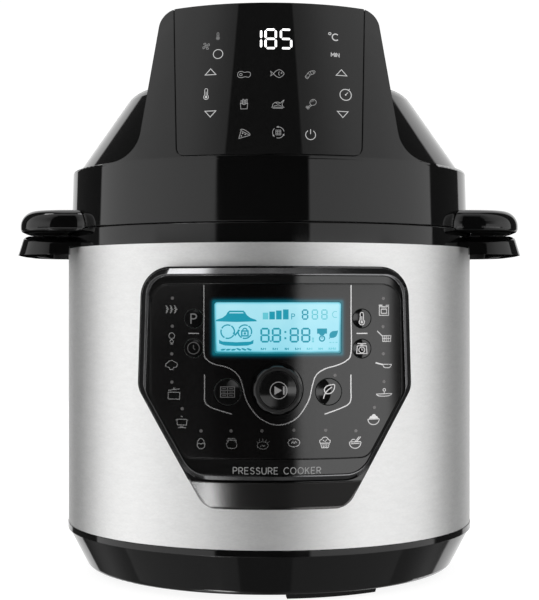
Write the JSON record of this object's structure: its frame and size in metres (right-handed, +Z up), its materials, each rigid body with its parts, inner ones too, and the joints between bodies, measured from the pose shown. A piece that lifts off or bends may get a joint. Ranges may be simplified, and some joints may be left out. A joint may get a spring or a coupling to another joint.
{
  "type": "electric pressure cooker",
  "caption": "Round steel electric multicooker with a wedge-fronted air-fryer head, side handles, a lit control panel with a dial, and a removable inner pot.",
  "frame": {"origin": "on the table, under the middle of the object's bounding box, which is the axis of the round body", "axes": "+Z up; -Y is the front with the control panel; +X is to the right seen from the front"},
  "size_m": [0.3326, 0.3169, 0.3613],
  "materials": {
    "gloss_black": "piano-black gloss moulding",
    "head_gloss_black": "piano-black gloss moulding",
    "satin_black": "fine-textured black moulding",
    "handle_black": "black gloss moulding with soft orange peel",
    "rubber_black": "matt rubber",
    "silicone_grey": "translucent grey silicone",
    "brushed_steel": "horizontally brushed stainless steel",
    "pot_steel": "spun stainless steel",
    "steel_plain": "plain cold-rolled steel",
    "liner_steel": "satin aluminised sheet",
    "cast_aluminium": "machined casting",
    "dark_chrome": "smoked chrome",
    "fascia_black": "gloss film with white printed icons",
    "lcd": "back-lit cyan liquid-crystal display",
    "touch_glass": "black glass with lit icons",
    "led_display": "seven-segment display block",
    "pcb_green": "solder-masked board",
    "component_dark": "moulded relays and capacitors",
    "copper": "enamelled copper wire",
    "brass": "bare brass blades",
    "spring_steel": "spring wire",
    "zinc": "zinc-plated screws",
    "element_steel": "heat-tinted steel tube",
    "reflector_steel": "bright reflector sheet",
    "cup_clear": "clear moulded plastic",
    "key_black": "gloss key cap with printed icon",
    "dial_black": "satin black grip",
    "start_black": "domed gloss cap"
  },
  "bodies": {
    "base": {"base_bowl": "gloss_black", "rubber_feet": "rubber_black", "steel_sleeve": "brushed_steel", "top_rim": "head_gloss_black", "inner_liner": "liner_steel", "locking_ring": "steel_plain", "heating_plate": "cast_aluminium", "sensor_holder": "steel_plain", "sensor_spring": "spring_steel", "power_board": "pcb_green", "board_components": "component_dark", "inlet_socket": "satin_black", "inlet_pins": "brass", "base_handle_left": "handle_black", "base_handle_right": "handle_black", "base_screws": "zinc", "panel_housing": "gloss_black", "panel_fascia": "fascia_black", "panel_bezel": "dark_chrome", "lcd_display": "lcd", "control_board": "pcb_green", "tact_switches": "component_dark", "dial_encoder": "steel_plain", "cup_bracket": "satin_black"},
    "sensor": {"sensor_button": "cast_aluminium"},
    "pot": {"inner_pot": "pot_steel"},
    "cup": {"condensate_cup": "cup_clear"},
    "head": {"head_housing": "head_gloss_black", "touch_panel": "touch_glass", "head_dome": "head_gloss_black", "head_base_ring": "satin_black", "head_seal": "silicone_grey", "reflector_dish": "reflector_steel", "guard_grille": "steel_plain", "heating_element": "element_steel", "motor_bracket": "steel_plain", "motor_stator": "steel_plain", "motor_winding": "copper", "motor_bearings": "steel_plain", "touch_board": "pcb_green", "touch_display": "led_display", "head_handle_left": "handle_black", "head_handle_right": "handle_black", "handle_plates": "satin_black", "handle_buffers": "silicone_grey", "lead_gland": "satin_black", "head_screws": "zinc"},
    "fan": {"motor_rotor": "spring_steel", "convection_fan": "reflector_steel", "fan_nut": "zinc", "cooling_fan": "cast_aluminium"},
    "dial": {"dial_ring": "dial_black"},
    "start": {"start_button": "start_black"},
    "pressure_key": {"pressure_button": "key_black"},
    "clock_key": {"clock_button": "key_black"},
    "temperature_key": {"temperature_button": "key_black"},
    "timer_key": {"timer_button": "key_black"},
    "menu_key": {"menu_button": "key_black"},
    "eco_key": {"eco_button": "key_black"}
  },
  "joints": [
    {"name": "head_lift", "type": "slide", "parent": "base", "child": "head", "axis": [0, 0, 1], "range_m": [0, 0.42]},
    {"name": "pot_lift", "type": "slide", "parent": "base", "child": "pot", "axis": [0, 0, 1], "range_m": [0, 0.21]},
    {"name": "fan_spin", "type": "hinge", "parent": "head", "child": "fan", "pos_m": [0, 0, 0.24], "axis": [0, 0, 1], "continuous": true},
    {"name": "sensor_press", "type": "slide", "parent": "base", "child": "sensor", "axis": [0, 0, 1], "range_m": [-0.002, 0], "stiffness_N_per_m": 400, "springref_m": 0.002, "deforming": ["sensor_spring"]},
    {"name": "cup_slide", "type": "slide", "parent": "base", "child": "cup", "axis": [0, 1, 0], "range_m": [0, 0.05]},
    {"name": "dial_spin", "type": "hinge", "parent": "base", "child": "dial", "pos_m": [0.00471, -0.14993, 0.1282], "axis": [0.0314, -0.9995, 0], "continuous": true},
    {"name": "start_press", "type": "slide", "parent": "base", "child": "start", "axis": [-0.0314, 0.9995, 0], "range_m": [0, 0.001], "stiffness_N_per_m": 500, "springref_m": -0.001},
    {"name": "pressure_press", "type": "slide", "parent": "base", "child": "pressure_key", "axis": [-0.0314, 0.9995, 0], "range_m": [0, 0.0008], "stiffness_N_per_m": 500, "springref_m": -0.001},
    {"name": "clock_press", "type": "slide", "parent": "base", "child": "clock_key", "axis": [-0.0314, 0.9995, 0], "range_m": [0, 0.0008], "stiffness_N_per_m": 500, "springref_m": -0.001},
    {"name": "temperature_press", "type": "slide", "parent": "base", "child": "temperature_key", "axis": [-0.0314, 0.9995, 0], "range_m": [0, 0.0008], "stiffness_N_per_m": 500, "springref_m": -0.001},
    {"name": "timer_press", "type": "slide", "parent": "base", "child": "timer_key", "axis": [-0.0314, 0.9995, 0], "range_m": [0, 0.0008], "stiffness_N_per_m": 500, "springref_m": -0.001},
    {"name": "menu_press", "type": "slide", "parent": "base", "child": "menu_key", "axis": [-0.0314, 0.9995, 0], "range_m": [0, 0.0008], "stiffness_N_per_m": 500, "springref_m": -0.001},
    {"name": "eco_press", "type": "slide", "parent": "base", "child": "eco_key", "axis": [-0.0314, 0.9995, 0], "range_m": [0, 0.0008], "stiffness_N_per_m": 500, "springref_m": -0.001}
  ],
  "couplings": [
    {"joint": "pot_lift", "follows": "head_lift", "ratio": 0.5}
  ]
}
